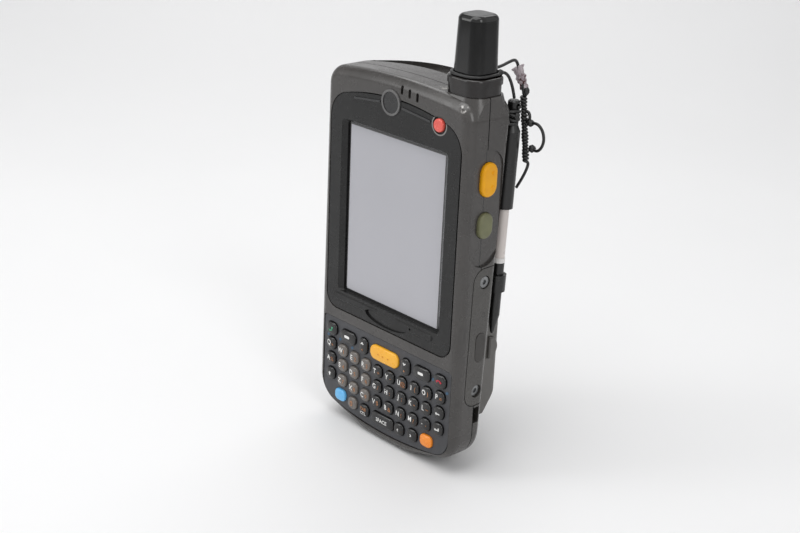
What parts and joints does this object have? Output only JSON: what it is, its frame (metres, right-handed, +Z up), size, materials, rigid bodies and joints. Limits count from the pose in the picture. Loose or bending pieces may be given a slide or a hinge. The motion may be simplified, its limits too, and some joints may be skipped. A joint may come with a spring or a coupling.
{
  "type": "portable data terminal",
  "caption": "Handheld barcode data terminal with touch screen, letter keypad, stub antenna, top scan window, side buttons, battery pack, hand strap and tethered stylus.",
  "frame": {"origin": "on the flat foot under the front housing, in the middle of the width, 8 mm behind the front face", "axes": "+X to the right seen from the front, +Y from the screen to the back, +Z up towards the antenna"},
  "size_m": [0.0897, 0.0511, 0.1865],
  "materials": {
    "casing_abs": "satin moulded ABS and polycarbonate",
    "bezel_abs": "satin moulded plastic",
    "touch_glass": "glossy touch panel over a switched-off display",
    "lcd_metal": "folded steel frame",
    "light_pipe": "smoked light pipe",
    "keypad_plate_abs": "fine moulded texture",
    "silicone_mat": "translucent silicone",
    "circuit_board": "solder mask on glass-fibre board",
    "red_key": "glossy moulded key",
    "yellow_key": "glossy moulded key",
    "olive_key": "glossy moulded key",
    "dark_key": "glossy moulded key",
    "light_key": "glossy moulded key",
    "blue_key": "glossy moulded key",
    "orange_key": "glossy moulded key",
    "rubber_plug": "moulded rubber",
    "screw_steel": "machined steel",
    "scan_glass": "dark red filter window",
    "engine_metal": "die-cast block",
    "antenna_gloss": "glossy moulded cap",
    "dock_plastic": "moulded connector body",
    "battery_abs": "fine moulded texture",
    "latch_abs": "satin moulded plastic",
    "strap_webbing": "woven nylon webbing",
    "stylus_black": "satin moulded plastic",
    "stylus_pale": "satin moulded plastic",
    "stylus_white": "glossy moulded ring",
    "tether_cord": "smooth polyurethane cord",
    "legend_ink": "screen-printed ink",
    "tape_flag": "worn translucent tape"
  },
  "bodies": {
    "casing": {"front_housing": "casing_abs", "rear_housing": "casing_abs", "display_bezel": "bezel_abs", "touch_panel": "touch_glass", "lcd_module": "lcd_metal", "emblem_disc": "bezel_abs", "status_light_bars": "light_pipe", "keypad_plate": "keypad_plate_abs", "keypad_mat": "silicone_mat", "main_board": "circuit_board", "access_door": "casing_abs", "door_plug": "rubber_plug", "door_screws": "screw_steel", "housing_screws": "screw_steel", "scan_window": "scan_glass", "scan_engine": "engine_metal", "antenna_collar": "casing_abs", "antenna": "antenna_gloss", "dock_connector": "dock_plastic", "strap_bar": "screw_steel", "strap_clip": "battery_abs", "hand_strap": "strap_webbing", "stylus_holder": "casing_abs", "tether_lead": "tether_cord", "tether_cord": "tether_cord", "tether_coil": "tether_cord", "tether_loop": "tether_cord", "tether_flag": "tape_flag"},
    "battery_pack": {"battery": "battery_abs"},
    "battery_latch_left_body": {"battery_latch_left": "latch_abs"},
    "battery_latch_right_body": {"battery_latch_right": "latch_abs"},
    "action_button_right_body": {"action_button_right": "olive_key"},
    "scan_button_right_body": {"scan_button_right": "yellow_key"},
    "scan_button_left_body": {"scan_button_left": "yellow_key"},
    "volume_rocker_body": {"volume_rocker": "dark_key"},
    "power_button_body": {"power_button": "red_key"},
    "stylus": {"stylus_cap": "stylus_black", "stylus_barrel": "stylus_pale", "stylus_ring": "stylus_white", "stylus_grip": "stylus_black"},
    "key_call_body": {"key_call": "dark_key"},
    "key_soft_left_body": {"key_soft_left": "dark_key"},
    "key_up_body": {"key_up": "dark_key"},
    "key_scan_body": {"key_scan": "yellow_key"},
    "key_down_body": {"key_down": "dark_key"},
    "key_soft_right_body": {"key_soft_right": "dark_key"},
    "key_end_body": {"key_end": "dark_key"},
    "key_backspace_body": {"key_backspace": "dark_key"},
    "key_shift_body": {"key_shift": "dark_key"},
    "key_enter_body": {"key_enter": "dark_key"},
    "key_blue_body": {"key_blue": "blue_key"},
    "key_zero_body": {"key_zero": "light_key"},
    "key_tab_body": {"key_tab": "dark_key"},
    "key_space_body": {"key_space": "dark_key"},
    "key_left_symbol_body": {"key_left_symbol": "dark_key"},
    "key_right_symbol_body": {"key_right_symbol": "dark_key"},
    "key_orange_body": {"key_orange": "orange_key"},
    "keys_letter_row_1_body": {"keys_letter_row_1": "dark_key"},
    "keys_letter_row_2_body": {"keys_letter_row_2": "dark_key"},
    "keys_letter_row_3_body": {"keys_letter_row_3": "dark_key"}
  },
  "joints": [
    {"name": "battery_lift", "type": "slide", "parent": "casing", "child": "battery_pack", "axis": [0, 1, 0], "range_m": [0, 0.004]},
    {"name": "battery_latch_left_press", "type": "slide", "parent": "battery_pack", "child": "battery_latch_left_body", "axis": [1, 0, 0], "range_m": [0, 0.0008], "stiffness_N_per_m": 10},
    {"name": "battery_latch_right_press", "type": "slide", "parent": "battery_pack", "child": "battery_latch_right_body", "axis": [-1, 0, 0], "range_m": [0, 0.0008], "stiffness_N_per_m": 10},
    {"name": "button_action_right_press", "type": "slide", "parent": "casing", "child": "action_button_right_body", "axis": [-1, 0, 0], "range_m": [0, 0.0005], "stiffness_N_per_m": 50},
    {"name": "button_scan_right_press", "type": "slide", "parent": "casing", "child": "scan_button_right_body", "axis": [-1, 0, 0], "range_m": [0, 0.0005], "stiffness_N_per_m": 50},
    {"name": "button_scan_left_press", "type": "slide", "parent": "casing", "child": "scan_button_left_body", "axis": [1, 0, 0], "range_m": [0, 0.0005], "stiffness_N_per_m": 50},
    {"name": "button_volume_tilt", "type": "hinge", "parent": "casing", "child": "volume_rocker_body", "pos_m": [-0.0386, 0.0033, 0.1061], "axis": [0, 1, 0], "range_deg": [-2.5, 2.5], "stiffness_Nm_per_rad": 0.002},
    {"name": "button_power_press", "type": "slide", "parent": "casing", "child": "power_button_body", "axis": [0, 1, 0], "range_m": [0, 0.0005], "stiffness_N_per_m": 15},
    {"name": "draw_stylus", "type": "slide", "parent": "casing", "child": "stylus", "axis": [0, 0.0365, 0.9993], "range_m": [0, 0.008], "deforming": ["tether_lead"]},
    {"name": "key_call_press", "type": "slide", "parent": "casing", "child": "key_call_body", "axis": [0, 1, 0], "range_m": [0, 0.0005], "stiffness_N_per_m": 20},
    {"name": "key_soft_left_press", "type": "slide", "parent": "casing", "child": "key_soft_left_body", "axis": [0, 1, 0], "range_m": [0, 0.0005], "stiffness_N_per_m": 20},
    {"name": "key_up_press", "type": "slide", "parent": "casing", "child": "key_up_body", "axis": [0, 1, 0], "range_m": [0, 0.0005], "stiffness_N_per_m": 20},
    {"name": "key_scan_press", "type": "slide", "parent": "casing", "child": "key_scan_body", "axis": [0, 1, 0], "range_m": [0, 0.0005], "stiffness_N_per_m": 30},
    {"name": "key_down_press", "type": "slide", "parent": "casing", "child": "key_down_body", "axis": [0, 1, 0], "range_m": [0, 0.0005], "stiffness_N_per_m": 20},
    {"name": "key_soft_right_press", "type": "slide", "parent": "casing", "child": "key_soft_right_body", "axis": [0, 1, 0], "range_m": [0, 0.0005], "stiffness_N_per_m": 20},
    {"name": "key_end_press", "type": "slide", "parent": "casing", "child": "key_end_body", "axis": [0, 1, 0], "range_m": [0, 0.0005], "stiffness_N_per_m": 20},
    {"name": "key_backspace_press", "type": "slide", "parent": "casing", "child": "key_backspace_body", "axis": [0, 1, 0], "range_m": [0, 0.0005], "stiffness_N_per_m": 20},
    {"name": "key_shift_press", "type": "slide", "parent": "casing", "child": "key_shift_body", "axis": [0, 1, 0], "range_m": [0, 0.0005], "stiffness_N_per_m": 20},
    {"name": "key_enter_press", "type": "slide", "parent": "casing", "child": "key_enter_body", "axis": [0, 1, 0], "range_m": [0, 0.0005], "stiffness_N_per_m": 20},
    {"name": "key_blue_press", "type": "slide", "parent": "casing", "child": "key_blue_body", "axis": [0, 1, 0], "range_m": [0, 0.0005], "stiffness_N_per_m": 20},
    {"name": "key_zero_press", "type": "slide", "parent": "casing", "child": "key_zero_body", "axis": [0, 1, 0], "range_m": [0, 0.0005], "stiffness_N_per_m": 20},
    {"name": "key_tab_press", "type": "slide", "parent": "casing", "child": "key_tab_body", "axis": [0, 1, 0], "range_m": [0, 0.0005], "stiffness_N_per_m": 20},
    {"name": "key_space_press", "type": "slide", "parent": "casing", "child": "key_space_body", "axis": [0, 1, 0], "range_m": [0, 0.0005], "stiffness_N_per_m": 30},
    {"name": "key_left_symbol_press", "type": "slide", "parent": "casing", "child": "key_left_symbol_body", "axis": [0, 1, 0], "range_m": [0, 0.0005], "stiffness_N_per_m": 20},
    {"name": "key_right_symbol_press", "type": "slide", "parent": "casing", "child": "key_right_symbol_body", "axis": [0, 1, 0], "range_m": [0, 0.0005], "stiffness_N_per_m": 20},
    {"name": "key_orange_press", "type": "slide", "parent": "casing", "child": "key_orange_body", "axis": [0, 1, 0], "range_m": [0, 0.0005], "stiffness_N_per_m": 20},
    {"name": "keys_letter_row_1_press", "type": "slide", "parent": "casing", "child": "keys_letter_row_1_body", "axis": [0, 1, 0], "range_m": [0, 0.0005], "stiffness_N_per_m": 60},
    {"name": "keys_letter_row_2_press", "type": "slide", "parent": "casing", "child": "keys_letter_row_2_body", "axis": [0, 1, 0], "range_m": [0, 0.0005], "stiffness_N_per_m": 60},
    {"name": "keys_letter_row_3_press", "type": "slide", "parent": "casing", "child": "keys_letter_row_3_body", "axis": [0, 1, 0], "range_m": [0, 0.0005], "stiffness_N_per_m": 60}
  ]
}
